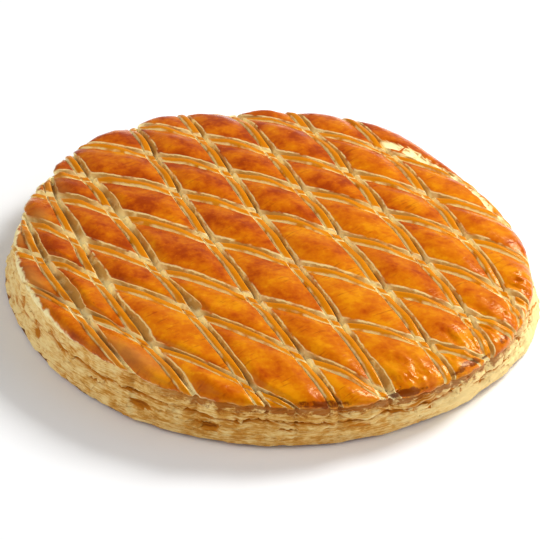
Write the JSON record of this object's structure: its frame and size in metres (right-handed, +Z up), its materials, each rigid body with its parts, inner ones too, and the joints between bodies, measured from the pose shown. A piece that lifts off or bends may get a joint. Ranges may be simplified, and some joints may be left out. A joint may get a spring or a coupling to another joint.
{
  "type": "galette des rois",
  "caption": "Round puff-pastry cake with a low domed lid, scored in a lozenge lattice of paired knife cuts, over a layered side and a flat base",
  "frame": {"origin": "middle of the flat base, on the surface the cake rests on", "axes": "+Z up out of the lid, X and Y across the cake"},
  "size_m": [0.288, 0.2734, 0.0383],
  "materials": {
    "glazed_crust": "egg-washed puff pastry, baked deep orange and glossy",
    "cut_pastry": "unglazed laminated pastry, pale cream and matt",
    "browned_base": "browned underside crust, matt"
  },
  "bodies": {
    "root": {"galette": "glazed_crust"}
  },
  "joints": []
}
